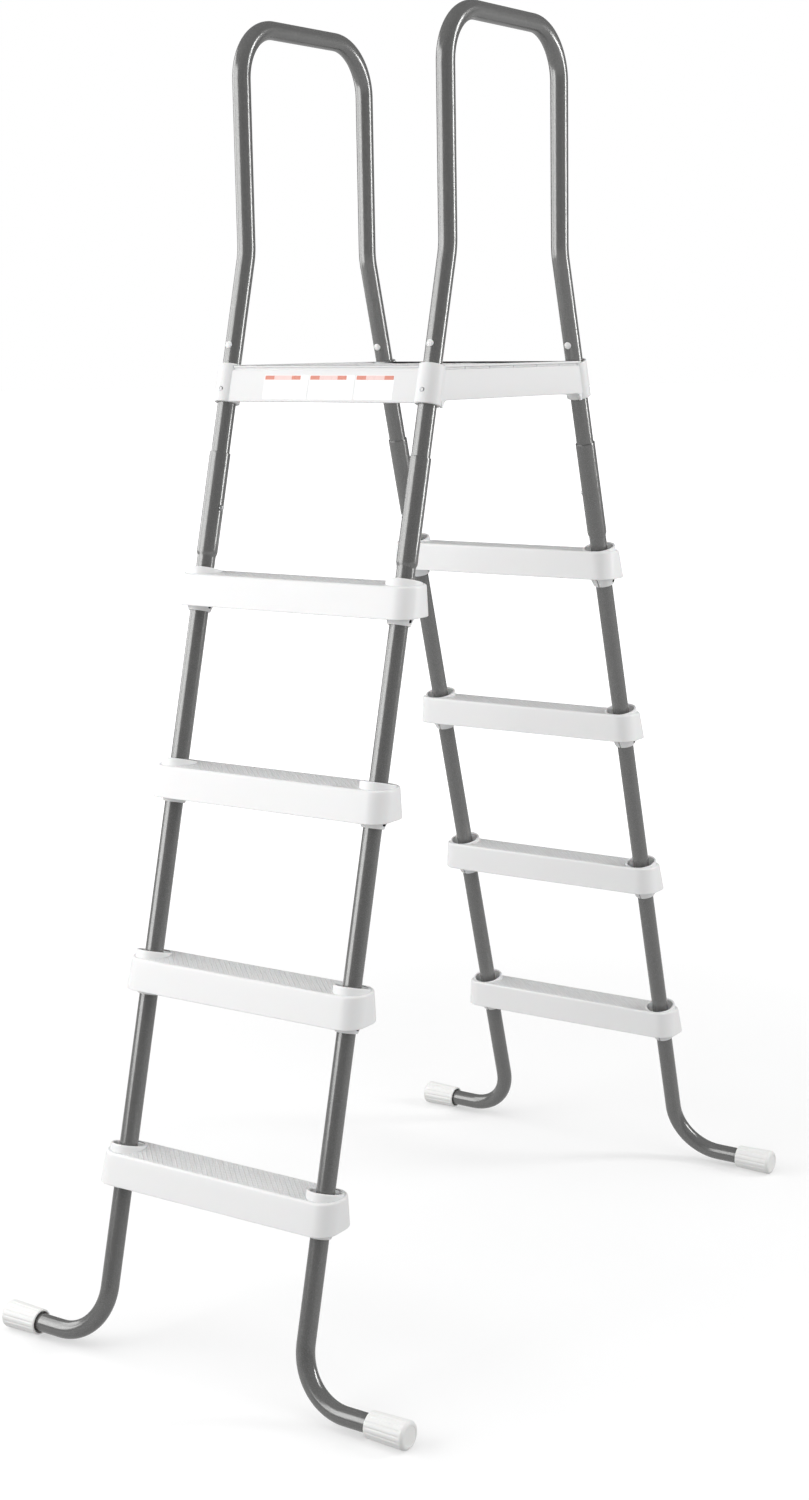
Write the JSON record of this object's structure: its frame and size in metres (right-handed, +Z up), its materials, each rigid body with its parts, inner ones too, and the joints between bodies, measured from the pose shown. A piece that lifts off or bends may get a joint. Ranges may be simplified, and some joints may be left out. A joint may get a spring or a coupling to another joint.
{
  "type": "pool ladder",
  "caption": "Free-standing A-frame pool ladder of bent steel tube with moulded white steps, a top platform and tall handrails.",
  "frame": {"origin": "on the floor under the middle of the platform", "axes": "+Z up, X along the steps with +X to the right seen from the front ladder, +Y from the front ladder to the back one"},
  "size_m": [0.6774, 1.0934, 1.7865],
  "materials": {
    "tube": "semi-gloss grey paint",
    "white_plastic": "satin moulded white",
    "foot_cap": "satin moulded pale grey",
    "bright_steel": "zinc plated",
    "screw": "black oxide",
    "label": "smooth film"
  },
  "bodies": {
    "frame": {"rail_left": "tube", "rail_right": "tube", "platform": "white_plastic", "leg_front_left": "tube", "leg_front_right": "tube", "leg_back_left": "tube", "leg_back_right": "tube", "foot_cap_front_left": "foot_cap", "foot_cap_front_right": "foot_cap", "foot_cap_back_left": "foot_cap", "foot_cap_back_right": "foot_cap", "step_front_1": "white_plastic", "step_front_2": "white_plastic", "step_front_3": "white_plastic", "step_front_4": "white_plastic", "step_back_1": "white_plastic", "step_back_2": "white_plastic", "step_back_3": "white_plastic", "step_back_4": "white_plastic", "sleeves_front_1": "white_plastic", "sleeves_front_2": "white_plastic", "sleeves_front_3": "white_plastic", "sleeves_front_4": "white_plastic", "sleeves_back_1": "white_plastic", "sleeves_back_2": "white_plastic", "sleeves_back_3": "white_plastic", "sleeves_back_4": "white_plastic", "sleeve_screws_front": "screw", "sleeve_screws_back": "screw", "snap_spring_front_left": "bright_steel", "snap_spring_front_right": "bright_steel", "snap_spring_back_left": "bright_steel", "snap_spring_back_right": "bright_steel", "platform_bolts": "bright_steel", "platform_washers": "bright_steel", "platform_nuts": "bright_steel", "hole_plugs_left": "white_plastic", "hole_plugs_right": "white_plastic", "label_left": "label", "label_middle": "label", "label_right": "label"},
    "snap_button_front_left": {"snap_button_front_left": "bright_steel"},
    "snap_button_front_right": {"snap_button_front_right": "bright_steel"},
    "snap_button_back_left": {"snap_button_back_left": "bright_steel"},
    "snap_button_back_right": {"snap_button_back_right": "bright_steel"}
  },
  "joints": [
    {"name": "press_front_left", "type": "slide", "parent": "frame", "child": "snap_button_front_left", "axis": [-1, 0, 0], "range_m": [0, 0.005], "stiffness_N_per_m": 800, "springref_m": -0.004, "deforming": ["snap_spring_front_left"]},
    {"name": "press_front_right", "type": "slide", "parent": "frame", "child": "snap_button_front_right", "axis": [1, 0, 0], "range_m": [0, 0.005], "stiffness_N_per_m": 800, "springref_m": -0.004, "deforming": ["snap_spring_front_right"]},
    {"name": "press_back_left", "type": "slide", "parent": "frame", "child": "snap_button_back_left", "axis": [-1, 0, 0], "range_m": [0, 0.005], "stiffness_N_per_m": 800, "springref_m": -0.004, "deforming": ["snap_spring_back_left"]},
    {"name": "press_back_right", "type": "slide", "parent": "frame", "child": "snap_button_back_right", "axis": [1, 0, 0], "range_m": [0, 0.005], "stiffness_N_per_m": 800, "springref_m": -0.004, "deforming": ["snap_spring_back_right"]}
  ]
}
